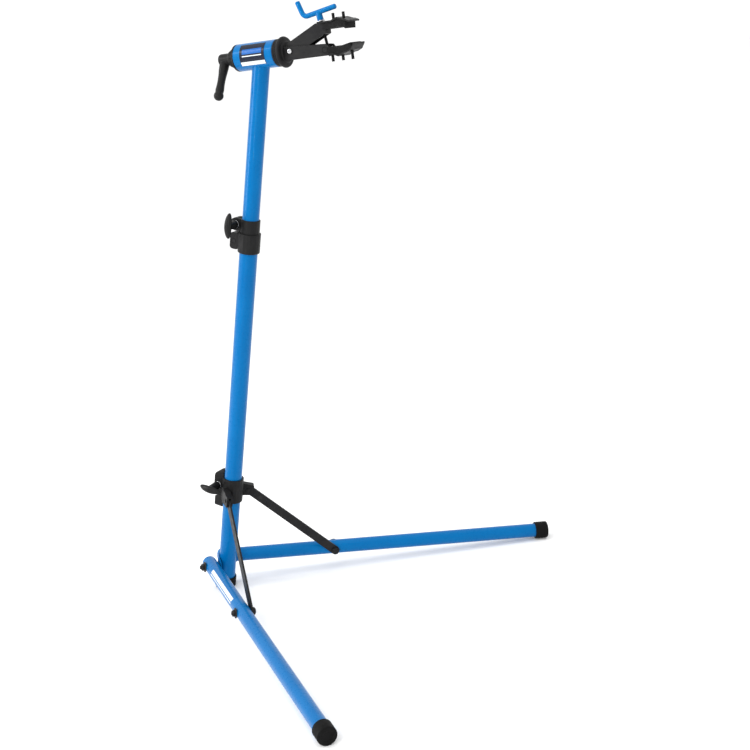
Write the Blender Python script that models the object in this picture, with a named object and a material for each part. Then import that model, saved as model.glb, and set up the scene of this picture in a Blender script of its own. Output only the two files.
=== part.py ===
"""Folding bicycle repair stand: a leaning telescopic mast on two splayed legs, with a turning clamp head.

Metres, +Z up. The origin is on the floor under the mast's foot, +X points to the clamp side, and the
stand is symmetric about the plane y = 0 apart from its knobs, label and lock lever.
"""

import math

import bmesh
import bpy
from mathutils import Matrix, Vector

# ---- driving dimensions, in metres and radians ----
GAP = 0.0003  # left between pieces that touch
MAST_LEAN = math.radians(11.1)  # forward, from the vertical
MAST_LENGTH = 1.189  # along the mast, from the floor to the barrel's axis
LOWER_R, LOWER_BORE_R = 0.01905, 0.01785
UPPER_R, UPPER_BORE_R = 0.01745, 0.01585
LOWER_TOP = 0.8265
UPPER_BOTTOM = 0.520
FOOT_R, FOOT_TOP = 0.022, 0.0275

LEG_SPLAY = math.radians(39.0)  # each leg's plane, from the plane y = 0
LEG_R, LEG_BORE_R = 0.015875, 0.014375
LEG_OFFSET = 0.0385  # leg axis from mast axis, across the leg's plane
LEG_PIVOT_HEIGHT = 0.057  # along the mast
LEG_PIVOT_REACH = 0.008  # in the leg's plane, out from the mast's axis
LEG_TAIL = 0.0205  # the tube behind the pivot, before its domed plug
LEG_LENGTH = 0.751  # from the pivot to the end of the rubber cap
CAP_R, CAP_LENGTH, CAP_ROUND = 0.01925, 0.030, 0.003
BOLT_R, BOLT_HOLE_R = 0.004, 0.0043

COLLAR_PIN_HEIGHT = 0.234  # of the struts' upper pins, along the mast
COLLAR_PIN_REACH = 0.037
STRUT_BOLT_REACH = 0.241  # from a leg's pivot, along the leg
STRUT_HALF_WIDTH = 0.00975
STRUT_INNER, STRUT_OUTER = 0.0181, 0.0221  # its two faces, from the mast's axis
STRUT_PIN_R, STRUT_PIN_HOLE_R = 0.003, 0.0033

COLLAR_R, COLLAR_BOTTOM, COLLAR_TOP = 0.0235, 0.2165, 0.2715
COLLAR_CLAMP = (-0.031, 0.248)  # its clamp bolt: forward of the mast's axis, and along the mast
HEIGHT_CLAMP = (-0.0295, 0.8425)
HEIGHT_SCREW = (-0.0315, 0.8065)
HEIGHT_BOTTOM, HEIGHT_STEP, HEIGHT_TOP = 0.7870, 0.8280, 0.8570
HEIGHT_LOWER_R, HEIGHT_UPPER_R = 0.0232, 0.0202
SLIT = 0.0012  # half the slit of a split clamp
KNOB_HALF_LENGTH = 0.0275

BARREL_R, BARREL_BORE_R = 0.0265, 0.0235
BARREL_TILT = math.radians(3.5)  # its front up
BARREL_BACK, BARREL_FRONT = -0.0525, 0.0395  # from the mast's axis, along the barrel
BUSH_LENGTH = 0.0095
FLANGE_FACE = BARREL_FRONT + 2 * GAP + BUSH_LENGTH + 0.012
SHAFT_R = 0.0160
LABEL_SPAN = (-0.0355, 0.0225)
LEVER_ANGLE = math.radians(-31.0)  # of the lock lever, from hanging straight down
LEVER_LENGTH = 0.0785
FLANGE_R = 0.0300
JAW_PIVOT = Vector((0.0757, 0.0, 0.0002))  # this and the jaw's other places are from the barrel's centre
ARM_HALF, ARM_WALL, UPPER_HALF = 0.0150, 0.0025, 0.0118
JAW_WIDTH, PLATE_THICK, PAD_THICK, V_DEPTH = 0.044, 0.003, 0.0125, 0.0045
# each jaw plate's inner face: along the arm, and from its level towards the other jaw
LOWER_SPINE = ((0.1540, 0.0), (0.1740, 0.0), (0.1860, -V_DEPTH), (0.1980, 0.0), (0.2050, 0.0008),
               (0.2150, 0.0050), (0.2215, 0.0145))
UPPER_SPINE = ((0.1480, 0.0), (0.1790, 0.0), (0.1920, -V_DEPTH), (0.2045, 0.0), (0.2085, 0.0006), (0.2160, 0.0040))
LOWER_PAD_END, UPPER_PAD_END = 0.2145, 0.2070
LOWER_LEVEL, UPPER_LEVEL = -0.0134, 0.0436  # the jaw plates' inner faces
LOWER_ARM_END, UPPER_ARM_END = 0.1622, 0.1572
PEG_R, PEG_ROW, PEG_TIP = 0.0028, -0.010, 0.0158
LOWER_PEGS, UPPER_PEGS = (0.1670, 0.1895, 0.2105), (0.1790, 0.2015)
TRUNNION = Vector((0.1537, 0.0, -0.0060))
TRUNNION_R, SCREW_R = 0.0058, 0.003
SCREW_TILT = math.radians(-9.5)
SEAT, HANDLE_HEIGHT = 0.0542, 0.0720  # the thrust washer's and the handle's heights up the screw
HANDLE_R = 0.005

FINISHES = {  # colour, roughness, metallic
    "blue_paint": ((0.010, 0.150, 0.480), 0.35, 0.0),
    "black_plastic": ((0.018, 0.018, 0.020), 0.50, 0.0),
    "black_steel": ((0.022, 0.022, 0.024), 0.40, 0.3),
    "rubber": ((0.012, 0.012, 0.013), 0.75, 0.0),
    "zinc": ((0.550, 0.560, 0.580), 0.30, 1.0),
    "label": ((0.800, 0.810, 0.830), 0.40, 0.0),
}


# ---- frames ----
def shifted(x=0.0, y=0.0, z=0.0):
    return Matrix.Translation((x, y, z))


def turned_by(angle, axis):
    return Matrix.Rotation(angle, 4, axis)


MAST = turned_by(MAST_LEAN, "Y")  # x forward and down, z up along the mast
HEAD = shifted(*(MAST @ Vector((0.0, 0.0, MAST_LENGTH)))) @ turned_by(-BARREL_TILT, "Y")
ALONG_X = turned_by(math.pi / 2, "Y")  # a piece turned about Z lies along X
ALONG_Y = turned_by(-math.pi / 2, "X")  # and along Y
SECTION_ALONG_X = Matrix(((0, 0, 1), (1, 0, 0), (0, 1, 0))).to_4x4()  # a section in Y and Z, extruded along X


def leg_plane(side):
    """x out from the mast in the leg's plane, z along the mast, y across: outward on the left side."""
    return MAST @ turned_by(side * LEG_SPLAY, "Z")


def leg_angle():
    """From the mast's direction to the leg's, so that the rubber cap rests on the floor."""
    pivot = leg_plane(1) @ Vector((LEG_PIVOT_REACH, LEG_OFFSET, LEG_PIVOT_HEIGHT))
    drop = 0.1
    for _ in range(30):
        rim = (CAP_R - CAP_ROUND) * math.cos(drop) + CAP_ROUND
        drop = math.asin((pivot.z - rim) / (LEG_LENGTH - CAP_ROUND))
    up, out = math.cos(MAST_LEAN), -math.cos(LEG_SPLAY) * math.sin(MAST_LEAN)
    return math.atan2(out, up) + math.acos(-math.sin(drop) / math.hypot(up, out))


LEG_ANGLE = leg_angle()


def leg_frame(side):
    """z along the leg from its pivot."""
    at = shifted(LEG_PIVOT_REACH, side * LEG_OFFSET, LEG_PIVOT_HEIGHT)
    return leg_plane(side) @ at @ turned_by(LEG_ANGLE, "Y")


def strut_span():
    """From the collar's pin to the leg's bolt, in the leg's plane: (out, along the mast)."""
    bolt_out = LEG_PIVOT_REACH + STRUT_BOLT_REACH * math.sin(LEG_ANGLE)
    bolt_up = LEG_PIVOT_HEIGHT + STRUT_BOLT_REACH * math.cos(LEG_ANGLE)
    return bolt_out - COLLAR_PIN_REACH, bolt_up - COLLAR_PIN_HEIGHT


STRUT_LENGTH = math.hypot(*strut_span())


def strut_frame(side):
    """z along the strut, from the collar's pin to the leg's bolt."""
    out, up = strut_span()
    return leg_plane(side) @ shifted(COLLAR_PIN_REACH, 0, COLLAR_PIN_HEIGHT) @ turned_by(math.atan2(out, up), "Y")


# ---- shapes, each a bmesh in its own frame ----
def ring_points(bm, radius, height, sides, hexed):
    if radius == 0:
        return [bm.verts.new((0.0, 0.0, height))]
    points = []
    for i in range(sides):
        angle = math.tau * i / sides
        reach = radius
        if hexed:
            reach = radius / math.cos((angle % (math.pi / 3)) - math.pi / 6)
        points.append(bm.verts.new((reach * math.cos(angle), reach * math.sin(angle), height)))
    return points


def lathe(outline, sides=20, hexed=()):
    """Turned about Z from (radius, height) points. An outline off the axis closes into a ring.

    hexed lists the outline's points that are a hexagon, with the radius of its flats.
    """
    bm = bmesh.new()
    rings = []
    for index, (radius, height) in enumerate(outline):
        rings.append(ring_points(bm, radius, height, sides, index in hexed))
    pairs = list(zip(rings, rings[1:]))
    if outline[0][0] > 0:
        pairs.append((rings[-1], rings[0]))
    for low, high in pairs:
        for i in range(sides):
            j = (i + 1) % sides
            corners = [low[i % len(low)], low[j % len(low)], high[j % len(high)], high[i % len(high)]]
            bm.faces.new(list(dict.fromkeys(corners)))
    bmesh.ops.recalc_face_normals(bm, faces=bm.faces)
    return bm


def tube(outer, bore, low, high, sides=24):
    return lathe([(bore, low), (outer, low), (outer, high), (bore, high)], sides)


def rod(radius, low, high, sides=16, chamfer=0.0):
    return lathe(
        [(0, low), (radius - chamfer, low), (radius, low + chamfer), (radius, high - chamfer),
         (radius - chamfer, high), (0, high)] if chamfer else [(0, low), (radius, low), (radius, high), (0, high)],
        sides,
    )


def arc(centre, radius, start, end, steps):
    """Points on a circle, angles in degrees."""
    points = []
    for i in range(steps + 1):
        angle = math.radians(start + (end - start) * i / steps)
        points.append((centre[0] + radius * math.cos(angle), centre[1] + radius * math.sin(angle)))
    return points


def rounded_box_outline(low, high, radius, steps=3):
    """A rectangle with round corners, from its lowest to its highest corner."""
    corners = (
        ((high[0] - radius, low[1] + radius), -90),
        ((high[0] - radius, high[1] - radius), 0),
        ((low[0] + radius, high[1] - radius), 90),
        ((low[0] + radius, low[1] + radius), 180),
    )
    return [point for centre, start in corners for point in arc(centre, radius, start, start + 90, steps)]


def prism(outline, low, high):
    """An outline in X and Y, extruded along Z."""
    bm = bmesh.new()
    bottom = [bm.verts.new((x, y, low)) for x, y in outline]
    top = [bm.verts.new((x, y, high)) for x, y in outline]
    bm.faces.new(bottom[::-1])
    bm.faces.new(top)
    for i in range(len(outline)):
        j = (i + 1) % len(outline)
        bm.faces.new([bottom[i], bottom[j], top[j], top[i]])
    bmesh.ops.recalc_face_normals(bm, faces=bm.faces)
    return bm


def plate(outline, low, high):
    """An outline in X and Z, extruded along Y."""
    bm = prism(outline, -high, -low)
    bm.transform(turned_by(math.pi / 2, "X"))
    return bm


def block(low, high):
    return prism([(low[0], low[1]), (high[0], low[1]), (high[0], high[1]), (low[0], high[1])], low[2], high[2])


def ellipsoid(half, sides=16, rings=9):
    outline = [(0, -1.0)]
    for i in range(1, rings):
        angle = math.pi * (i / rings - 0.5)
        outline.append((math.cos(angle), math.sin(angle)))
    bm = lathe(outline + [(0, 1.0)], sides)
    bm.transform(Matrix.Diagonal((half[0], half[1], half[2], 1.0)))
    return bm


def moved(bm, matrix):
    bm.transform(matrix)
    return bm


def swept(points, radii, sides=12):
    """A round bar through the points, with flat ends."""
    bm = bmesh.new()
    rings = []
    for i, point in enumerate(points):
        before, after = points[max(i - 1, 0)], points[min(i + 1, len(points) - 1)]
        frame = (after - before).to_track_quat("Z", "Y").to_matrix()
        ring = []
        for k in range(sides):
            angle = math.tau * k / sides
            across = Vector((radii[i] * math.cos(angle), radii[i] * math.sin(angle), 0.0))
            ring.append(bm.verts.new(point + frame @ across))
        rings.append(ring)
    for low, high in zip(rings, rings[1:]):
        for k in range(sides):
            j = (k + 1) % sides
            bm.faces.new([low[k], low[j], high[j], high[k]])
    bm.faces.new(rings[0][::-1])
    bm.faces.new(rings[-1])
    bmesh.ops.recalc_face_normals(bm, faces=bm.faces)
    return bm


# ---- objects ----
def material(name, finish):
    colour, roughness, metallic = FINISHES[finish]
    made = bpy.data.materials.new(name)
    made.use_nodes = True
    shader = made.node_tree.nodes["Principled BSDF"]
    shader.inputs["Base Color"].default_value = (*colour, 1.0)
    shader.inputs["Roughness"].default_value = roughness
    shader.inputs["Metallic"].default_value = metallic
    return made


def solid(name, bm, frame, finish):
    """The node called name, at its frame."""
    mesh = bpy.data.meshes.new(name)
    bm.to_mesh(mesh)
    bm.free()
    mesh.materials.append(material(name, finish))
    mesh.shade_smooth()
    mesh.set_sharp_from_angle(angle=math.radians(35.0))
    made = bpy.data.objects.new(name, mesh)
    bpy.context.scene.collection.objects.link(made)
    made.matrix_world = frame
    return made


def boolean(target, bm, operation, frame=None):
    """Cuts bm from the target, or joins it on. bm is in the target's frame unless another is given."""
    name = f"{target.name}.{operation.lower()}.{len(target.modifiers)}"
    mesh = bpy.data.meshes.new(name)
    bm.to_mesh(mesh)
    bm.free()
    tool = bpy.data.objects.new(name, mesh)
    bpy.context.scene.collection.objects.link(tool)
    tool.matrix_world = frame if frame is not None else target.matrix_world
    tool.hide_render = True
    tool.display_type = "WIRE"
    step = target.modifiers.new(name, "BOOLEAN")
    step.operation = operation
    step.solver = "EXACT"
    step.object = tool


def cut(target, bm, frame=None):
    boolean(target, bm, "DIFFERENCE", frame)


def join(target, bm, frame=None):
    boolean(target, bm, "UNION", frame)


# ---- mast ----
def make_foot_cap():
    outline = [(0, -0.02), (FOOT_R, -0.02), (FOOT_R, FOOT_TOP - 0.002), (FOOT_R - 0.0015, FOOT_TOP),
               (LOWER_R + GAP, FOOT_TOP), (LOWER_R + GAP, 0.0105), (0, 0.0105)]
    bm = lathe(outline)
    floor = MAST.inverted().to_3x3() @ Vector((0.0, 0.0, -1.0))
    geometry = bm.verts[:] + bm.edges[:] + bm.faces[:]
    bmesh.ops.bisect_plane(bm, geom=geometry, plane_co=(0, 0, 0), plane_no=floor, clear_outer=True)
    open_edges = [edge for edge in bm.edges if edge.is_boundary]
    bmesh.ops.holes_fill(bm, edges=open_edges)
    bmesh.ops.recalc_face_normals(bm, faces=bm.faces)
    solid("foot_cap", bm, MAST, "rubber")


def make_mast():
    solid("lower_tube", tube(LOWER_R, LOWER_BORE_R, 0.0105 + GAP, LOWER_TOP), MAST, "blue_paint")
    upper = solid("upper_tube", tube(UPPER_R, UPPER_BORE_R, UPPER_BOTTOM, MAST_LENGTH), MAST, "blue_paint")
    cut(upper, moved(rod(BARREL_R + 2 * GAP, -0.1, 0.1, 32), ALONG_X), HEAD)
    plug_r = UPPER_BORE_R - GAP
    flange_r = LOWER_BORE_R - 0.00025
    low = UPPER_BOTTOM - GAP
    outline = [(0.010, low - 0.004), (flange_r, low - 0.004), (flange_r, low), (plug_r, low),
               (plug_r, low + 0.018), (0.010, low + 0.018)]
    solid("tube_bush", lathe(outline), MAST, "black_plastic")


def make_height_collar():
    outline = [(LOWER_R + GAP, HEIGHT_BOTTOM), (HEIGHT_LOWER_R - 0.001, HEIGHT_BOTTOM),
               (HEIGHT_LOWER_R, HEIGHT_BOTTOM + 0.001), (HEIGHT_LOWER_R, HEIGHT_STEP),
               (HEIGHT_UPPER_R, HEIGHT_STEP + 0.001), (HEIGHT_UPPER_R, HEIGHT_TOP - 0.001),
               (HEIGHT_UPPER_R - 0.001, HEIGHT_TOP), (UPPER_R + GAP, HEIGHT_TOP),
               (UPPER_R + GAP, LOWER_TOP + GAP), (LOWER_R + GAP, LOWER_TOP + GAP)]
    collar = solid("height_collar", lathe(outline), MAST, "black_plastic")
    u, s = HEIGHT_CLAMP
    upper_ear = arc((u, s), 0.0138, 60, 300, 10) + [(-0.0183, HEIGHT_STEP + 0.0012), (-0.0183, HEIGHT_TOP - 0.0012)]
    join(collar, plate(upper_ear, -0.0100, 0.0100))
    lower_ear = rounded_box_outline((-0.0410, 0.7895), (-0.0200, 0.8245), 0.006)
    join(collar, plate(lower_ear, -0.0105, 0.0105))
    cut(collar, block((-0.06, -SLIT, 0.75), (-0.010, SLIT, 0.90)))
    cut(collar, moved(rod(0.0033, -0.03, 0.03, 16), shifted(u, 0, s) @ ALONG_Y))
    u, s = HEIGHT_SCREW
    cut(collar, moved(rod(0.0028, -0.03, 0.03, 16), shifted(u, 0, s) @ ALONG_Y))
    for side in (-1, 1):
        recess = rod(0.0055, 0.0075, 0.03, 16) if side > 0 else rod(0.0055, -0.03, -0.0075, 16)
        cut(collar, moved(recess, shifted(u, 0, s) @ ALONG_Y))


def make_sliding_collar():
    outline = [(0.012, COLLAR_BOTTOM), (COLLAR_R - 0.001, COLLAR_BOTTOM), (COLLAR_R, COLLAR_BOTTOM + 0.001),
               (COLLAR_R, COLLAR_TOP - 0.001), (COLLAR_R - 0.001, COLLAR_TOP), (0.012, COLLAR_TOP)]
    collar = solid("sliding_collar", lathe(outline), MAST, "black_plastic")
    u, s = COLLAR_CLAMP
    lobe = (u + 0.0030, COLLAR_TOP - 0.0040)
    ear = arc(lobe, 0.0135, 40, 180, 10) + [(u - 0.0105, s - 0.011), (u - 0.0060, s - 0.0175),
                                            (-0.0195, COLLAR_BOTTOM + 0.010), (-0.0180, COLLAR_TOP - 0.002)]
    join(collar, plate(ear, -0.0115, 0.0115))
    foot = rounded_box_outline((-0.0395, COLLAR_BOTTOM - 0.0200), (-0.0180, COLLAR_BOTTOM + 0.0020), 0.002)
    join(collar, plate(foot, -0.0085, 0.0085))
    for side in (-1, 1):
        frame = leg_plane(side)
        faces = sorted((side * 0.0128, side * 0.0265))
        top, low = COLLAR_PIN_HEIGHT + 0.0150, COLLAR_PIN_HEIGHT - 0.0125
        clevis = [(0.013, low - 0.002), (0.030, low), (0.0455, low), (0.0475, low + 0.004),
                  (0.0495, top - 0.006), (0.0480, top - 0.003), (0.0300, top), (0.013, top + 0.004)]
        join(collar, plate(clevis, *faces), frame)
    bore_r = LOWER_R + 0.0004
    mouth = math.degrees(math.asin(SLIT / bore_r))
    keyhole = arc((0, 0), bore_r, mouth - 180, 180 - mouth, 32) + [(-0.06, SLIT), (-0.06, -SLIT)]
    cut(collar, prism(keyhole, 0.15, 0.35))
    cut(collar, moved(rod(0.0033, -0.03, 0.03, 16), shifted(u, 0, s) @ ALONG_Y))
    for side in (-1, 1):
        frame = leg_plane(side)
        faces = sorted((side * (STRUT_INNER - GAP), side * (STRUT_OUTER + GAP)))
        round_r = STRUT_HALF_WIDTH + 0.0006
        slot = arc((COLLAR_PIN_REACH, COLLAR_PIN_HEIGHT), round_r, 90, 180, 6)
        slot += [(COLLAR_PIN_REACH - round_r, 0.19), (0.08, 0.19), (0.08, COLLAR_PIN_HEIGHT + round_r)]
        cut(collar, plate(slot, *faces), frame)
        pin = shifted(COLLAR_PIN_REACH, 0, COLLAR_PIN_HEIGHT) @ ALONG_Y
        cut(collar, moved(rod(STRUT_PIN_HOLE_R, 0.008, 0.035, 16) if side > 0 else
                          rod(STRUT_PIN_HOLE_R, -0.035, -0.008, 16), pin), frame)


def make_knob(name, clamp, ear, reach, upright):
    """A wing knob on the right-hand end of a clamp bolt, with the bolt and its nut."""
    u, s = clamp
    frame = MAST @ shifted(u, 0, s) @ turned_by(math.pi / 2, "X")  # z points to the right-hand side, -Y
    hub = [(0, ear + 0.012), (0.0045, ear + 0.012), (0.0045, ear + 0.0028), (0.0085, ear + 0.0028),
           (0.0092, ear + 0.006), (0.0080, reach - 0.006), (0.0070, reach + 0.002), (0, reach + 0.002)]
    knob = solid(f"{name}_knob", lathe(hub, 24), frame, "black_plastic")
    half = (0.0085, KNOB_HALF_LENGTH, 0.0070) if upright else (KNOB_HALF_LENGTH, 0.0085, 0.0070)
    join(knob, moved(ellipsoid(half, 20, 12), shifted(0, 0, reach)))
    stud = [(0, -ear - 0.0075), (0.0030, -ear - 0.0075), (0.0030, ear + 0.0115), (0, ear + 0.0115)]
    solid(f"{name}_stud", lathe(stud, 16), frame, "zinc")
    washer = tube(0.0080, 0.0033, ear + GAP, ear + 0.0018, 24)
    solid(f"{name}_washer", washer, frame, "zinc")
    nut = [(0.0033, -ear - 0.0060), (0.0050, -ear - 0.0060), (0.0050, -ear - GAP), (0.0033, -ear - GAP)]
    solid(f"{name}_nut", lathe(nut, 12, hexed=(1, 2)), frame, "zinc")


def make_height_screw():
    u, s = HEIGHT_SCREW
    frame = MAST @ shifted(u, 0, s) @ turned_by(math.pi / 2, "X")
    screw = [(0, -0.0104), (0.0025, -0.0104), (0.0025, 0.0078), (0.0047, 0.0078), (0.0047, 0.0103), (0, 0.0103)]
    solid("collar_screw", lathe(screw, 18), frame, "black_steel")
    nut = [(0.0028, -0.0102), (0.0042, -0.0102), (0.0042, -0.0078), (0.0028, -0.0078)]
    solid("collar_screw_nut", lathe(nut, 12, hexed=(1, 2)), frame, "black_steel")


# ---- legs ----
def make_leg_bracket():
    inner_r, outer_r = LOWER_R + 0.00035, 0.0217
    tangent = 90 + math.degrees(LEG_SPLAY)
    band = arc((0, 0), outer_r, tangent, 360 - tangent, 24) + arc((0, 0), inner_r, 360 - tangent, tangent, 24)
    low, high = LEG_PIVOT_HEIGHT - 0.024, LEG_PIVOT_HEIGHT + 0.024
    bracket = solid("leg_bracket", prism(band, low, high), MAST, "blue_paint")
    for side in (-1, 1):
        faces = sorted((side * 0.0204, side * 0.0221))
        ear = arc((LEG_PIVOT_REACH, LEG_PIVOT_HEIGHT), 0.0165, -75, 75, 10)
        ear += [(-0.004, high - 0.002), (-0.004, low + 0.002)]
        join(bracket, plate(ear, *faces), leg_plane(side))
        hole = shifted(LEG_PIVOT_REACH, 0, LEG_PIVOT_HEIGHT) @ ALONG_Y
        reach = sorted((side * 0.010, side * 0.030))
        cut(bracket, moved(rod(BOLT_HOLE_R, *reach, 20), hole), leg_plane(side))


def make_leg(side, name):
    frame = leg_frame(side)
    leg = solid(f"leg_tube_{name}", tube(LEG_R, LEG_BORE_R, -LEG_TAIL, LEG_LENGTH - 0.005), frame, "blue_paint")
    for reach in (0.0, STRUT_BOLT_REACH):
        cut(leg, moved(rod(BOLT_HOLE_R, -0.03, 0.03, 20), shifted(z=reach) @ ALONG_Y))
    plug_r = LEG_BORE_R - GAP
    end = -LEG_TAIL - GAP
    dome = [(LEG_R * math.sin(a), end - 0.0085 * math.cos(a)) for a in (0.45, 0.9, 1.25, math.pi / 2)]
    plug = [(0, end - 0.0085)] + dome + [(plug_r, end), (plug_r, -0.0080), (0, -0.0080)]
    solid(f"leg_plug_{name}", lathe(plug), frame, "blue_paint")
    end = arc((LEG_LENGTH - CAP_ROUND, CAP_R - CAP_ROUND), CAP_ROUND, 0, 90, 4)
    low = LEG_LENGTH - CAP_LENGTH
    cap = [(0, LEG_LENGTH)] + [(r, z) for z, r in end]
    cap += [(CAP_R, low + 0.001), (CAP_R - 0.001, low), (LEG_R + GAP, low),
            (LEG_R + GAP, LEG_LENGTH - 0.0047), (0, LEG_LENGTH - 0.0047)]
    solid(f"leg_cap_{name}", lathe(cap), frame, "rubber")


def make_leg_pivot(side, name):
    """A bolt through the bracket's ear and the leg, and its flanged nut outside the leg."""
    out = -side * math.pi / 2  # turns z to point outward across the leg's plane
    frame = leg_plane(side) @ shifted(LEG_PIVOT_REACH, 0, LEG_PIVOT_HEIGHT) @ turned_by(out, "X")
    face = LEG_OFFSET + LEG_R + GAP
    bolt = [(0, 0.0193), (0.0055, 0.0193), (0.0055, 0.0201), (BOLT_R, 0.0201),
            (BOLT_R, face + 0.0105), (BOLT_R - 0.0008, face + 0.0115), (0, face + 0.0115)]
    solid(f"pivot_bolt_{name}", lathe(bolt, 20), frame, "black_steel")
    nut = [(BOLT_HOLE_R, face), (0.0120, face), (0.0120, face + 0.0018), (0.0070, face + 0.0024),
           (0.0068, face + 0.0085), (0.0055, face + 0.0095), (BOLT_HOLE_R, face + 0.0095)]
    solid(f"pivot_nut_{name}", lathe(nut, 12, hexed=(3, 4)), frame, "black_steel")


def make_strut(side, name):
    frame = strut_frame(side)
    half = STRUT_HALF_WIDTH
    faces = sorted((side * STRUT_INNER, side * STRUT_OUTER))
    outline = arc((0, 0), half, 180, 360, 10) + arc((0, STRUT_LENGTH), half, 0, 180, 10)
    strut = solid(f"strut_{name}", plate(outline, *faces), frame, "black_steel")
    reach = sorted((side * 0.010, side * 0.030))
    cut(strut, moved(rod(STRUT_PIN_HOLE_R, *reach, 16), ALONG_Y))
    cut(strut, moved(rod(BOLT_HOLE_R, *reach, 20), shifted(z=STRUT_LENGTH) @ ALONG_Y))
    out = turned_by(-side * math.pi / 2, "X")
    pin = [(0, 0.0110), (0.0045, 0.0110), (0.0045, 0.0125), (STRUT_PIN_R, 0.0125),
           (STRUT_PIN_R, 0.0268), (0.0045, 0.0268), (0.0040, 0.0282), (0, 0.0282)]
    solid(f"strut_pin_{name}", lathe(pin, 16), frame @ out, "zinc")
    cap = [(0, 0.0118), (0.0055, 0.0118), (0.0082, 0.0140), (0.0085, STRUT_INNER - GAP),
           (BOLT_R, STRUT_INNER - GAP), (BOLT_R, STRUT_OUTER), (0, STRUT_OUTER)]
    solid(f"strut_nut_{name}", lathe(cap, 20), frame @ shifted(z=STRUT_LENGTH) @ out, "black_steel")
    face = LEG_OFFSET + LEG_R + GAP
    bolt = [(0, STRUT_OUTER + GAP), (BOLT_R, STRUT_OUTER + GAP), (BOLT_R, face), (0.0110, face),
            (0.0110, face + 0.0015), (0.0070, face + 0.0022), (0.0068, face + 0.0080),
            (0.0055, face + 0.0090), (0, face + 0.0090)]
    at = leg_frame(side) @ shifted(0, -side * LEG_OFFSET, STRUT_BOLT_REACH) @ out
    solid(f"strut_bolt_{name}", lathe(bolt, 12, hexed=(5, 6)), at, "black_steel")


# ---- clamp head ----
def make_barrel():
    frame = HEAD @ ALONG_X
    solid("head_barrel", tube(BARREL_R, BARREL_BORE_R, BARREL_BACK, BARREL_FRONT, 32), frame, "blue_paint")
    bush_r = BARREL_BORE_R - GAP
    bore = SHAFT_R + GAP
    front = BARREL_FRONT + GAP
    outline = [(bore, front - 0.018), (bush_r, front - 0.018), (bush_r, front), (BARREL_R - 0.0008, front),
               (BARREL_R, front + 0.001), (BARREL_R, front + BUSH_LENGTH - 0.0015),
               (BARREL_R - 0.0015, front + BUSH_LENGTH), (bore, front + BUSH_LENGTH)]
    solid("front_bush", lathe(outline, 32), frame, "black_plastic")
    back = BARREL_BACK - GAP
    outline = [(bore, back - 0.005), (BARREL_R - 0.0015, back - 0.005), (BARREL_R, back - 0.004),
               (BARREL_R, back), (bush_r, back), (bush_r, back + 0.014), (bore, back + 0.014)]
    solid("rear_bush", lathe(outline, 32), frame, "black_plastic")


def make_label():
    """A thin curved label on the barrel's right-hand side."""
    inner_r, outer_r = BARREL_R + GAP, BARREL_R + GAP + 0.0005
    section = arc((0, 0), outer_r, 122, 218, 16) + arc((0, 0), inner_r, 218, 122, 16)
    label = prism(section, *LABEL_SPAN)
    solid("label_plate", label, HEAD @ SECTION_ALONG_X, "label")


def make_head_shaft():
    """The turning spindle, with its front flange as one piece and the lock washer at its back."""
    frame = HEAD @ ALONG_X
    front = FLANGE_FACE - 0.012
    rim = arc((front + 0.0045, FLANGE_R - 0.0045), 0.0045, 180, 0, 8)
    shoulder, end = BARREL_BACK - 0.0053, BARREL_BACK - 0.0250
    spindle = [(0, end), (0.0060, end), (0.0060, shoulder), (SHAFT_R, shoulder), (SHAFT_R, front)]
    spindle += [(r, z) for z, r in rim] + [(0.021, front + 0.009), (0.019, front + 0.012), (0, front + 0.012)]
    solid("head_spindle", lathe(spindle, 32), frame, "black_plastic")
    back = BARREL_BACK - GAP - 0.005 - GAP
    washer = [(0.0063, back - 0.0015), (0.0140, back - 0.0015), (0.0140, back), (0.0063, back)]
    solid("lock_washer", lathe(washer, 24), frame, "zinc")


def make_lock_lever():
    frame = HEAD @ turned_by(LEVER_ANGLE, "X")  # swings the hanging handle towards -Y
    back = BARREL_BACK - 0.0076
    hub = [(0, back - 0.0180), (0.0063, back - 0.0180), (0.0063, back), (0.0150, back),
           (0.0170, back - 0.002), (0.0170, back - 0.010), (0.0150, back - 0.013), (0.0125, back - 0.0150),
           (0.0125, back - 0.0400), (0.0105, back - 0.0420), (0, back - 0.0420)]
    lever = solid("lock_lever", lathe(hub, 24), frame, "black_plastic")
    lever.data.transform(ALONG_X)
    centre = back - 0.0285
    handle = [(0, -0.006), (0.0095, -0.006), (0.0098, -0.020), (0.0080, -0.034), (0.0075, -0.045)]
    ball_r = 0.0100
    for i in range(7):
        angle = math.radians(-35 + 125 * i / 6)
        handle.append((ball_r * math.cos(angle), -LEVER_LENGTH - ball_r * math.sin(angle)))
    handle[-1] = (0, -LEVER_LENGTH - ball_r)
    join(lever, moved(lathe(handle, 20), shifted(x=centre)))


def jaw_line(away, level, spine, start, end):
    """A jaw plate's face from the side, between two places along the arm."""
    points = []
    for (x, y), (next_x, next_y) in zip(spine, spine[1:]):
        for place in (max(x, start), min(next_x, end)):
            if x <= place <= next_x and (not points or place > points[-1][0]):
                points.append((place, y + (next_y - y) * (place - x) / (next_x - x)))
    return [(x, level - away * y) for x, y in points]


def add_jaw_plate(jaw, away, level, spine, pegs):
    """The wide bent plate at an arm's end, whose inner face is at the level, with holes for the pad's pegs."""
    ends = spine[0][0], spine[-1][0]
    outline = jaw_line(away, level, spine, *ends) + jaw_line(away, level + away * PLATE_THICK, spine, *ends)[::-1]
    join(jaw, plate(outline, -JAW_WIDTH / 2, JAW_WIDTH / 2), HEAD)
    for x in pegs:
        cut(jaw, moved(rod(PEG_R + 0.0004, -0.02, 0.02, 10), shifted(x, PEG_ROW, level)), HEAD)


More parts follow.
